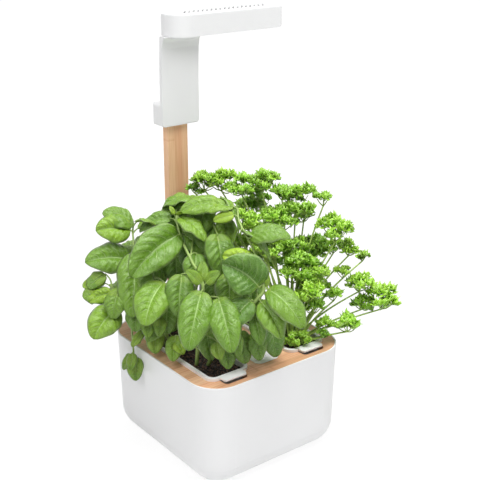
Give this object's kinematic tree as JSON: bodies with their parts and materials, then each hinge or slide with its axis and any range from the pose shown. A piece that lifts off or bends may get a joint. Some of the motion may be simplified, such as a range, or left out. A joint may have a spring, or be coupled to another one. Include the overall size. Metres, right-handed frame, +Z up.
{
  "type": "countertop hydroponic garden",
  "caption": "Box-shaped countertop hydroponic planter with a wooden lid, two lift-out herb trays and a sliding, swivelling grow lamp on a mast.",
  "frame": {"origin": "centre of the resting plane under the casing, on the face of the middle foot", "axes": "+Z up along the mast, -Y towards the front of the casing, +X to the right seen from the front"},
  "size_m": [0.4097, 0.3104, 0.61],
  "materials": {
    "white_shell": "satin",
    "tank_plastic": "matte",
    "foot_rubber": "matte",
    "bamboo": "satin",
    "screw_steel": "satin",
    "board_green": "satin",
    "black_plastic": "satin",
    "float_red": "satin",
    "tray_white": "gloss",
    "soil": "matte",
    "felt": "matte",
    "aluminium": "satin",
    "led_chip": "gloss",
    "diffuser_white": "satin",
    "basil_green": "satin",
    "parsley_green": "matte"
  },
  "bodies": {
    "base": {"casing": "white_shell", "water_tank": "tank_plastic", "feet": "foot_rubber", "mast_socket": "tank_plastic", "mast": "bamboo", "mast_screws": "screw_steel", "control_board": "board_green", "dc_inlet": "black_plastic", "float_guide": "tank_plastic"},
    "button": {"power_button": "white_shell"},
    "float": {"level_float": "float_red"},
    "lid": {"lid": "bamboo"},
    "hatch": {"fill_hatch": "white_shell"},
    "left_pot": {"left_tray": "tray_white", "left_soil": "soil", "left_wicks": "felt", "basil": "basil_green"},
    "right_pot": {"right_tray": "tray_white", "right_soil": "soil", "right_wicks": "felt", "parsley": "parsley_green"},
    "lamp_carriage": {"lamp_arm": "white_shell", "collar_cover": "white_shell", "collar_screws": "screw_steel", "mast_pads": "felt", "swivel_post": "screw_steel", "swivel_nut": "screw_steel"},
    "lamp_head": {"head_shell": "white_shell", "head_tray": "white_shell", "heat_sink": "aluminium", "led_board": "white_shell", "leds": "led_chip", "diffuser": "diffuser_white", "head_screws": "screw_steel"}
  },
  "joints": [
    {"name": "lid_lift", "type": "slide", "parent": "base", "child": "lid", "axis": [0, 0, 1], "range_m": [0, 0.04]},
    {"name": "hatch_lift", "type": "slide", "parent": "lid", "child": "hatch", "axis": [0, 0, 1], "range_m": [0, 0.02]},
    {"name": "left_tray_lift", "type": "slide", "parent": "lid", "child": "left_pot", "axis": [0, 0, 1], "range_m": [0, 0.085]},
    {"name": "right_tray_lift", "type": "slide", "parent": "lid", "child": "right_pot", "axis": [0, 0, 1], "range_m": [0, 0.085]},
    {"name": "float_rise", "type": "slide", "parent": "base", "child": "float", "axis": [0, 0, 1], "range_m": [0, 0.06]},
    {"name": "button_press", "type": "slide", "parent": "base", "child": "button", "axis": [0, -1, 0], "range_m": [0, 0.0015], "stiffness_N_per_m": 600, "springref_m": -0.0015},
    {"name": "lamp_slide", "type": "slide", "parent": "base", "child": "lamp_carriage", "axis": [0, 0, 1], "range_m": [-0.1, 0]},
    {"name": "head_swivel", "type": "hinge", "parent": "lamp_carriage", "child": "lamp_head", "pos_m": [0, 0.097, 0.585], "axis": [0, 0, 1], "range_deg": [-180, 0]}
  ]
}
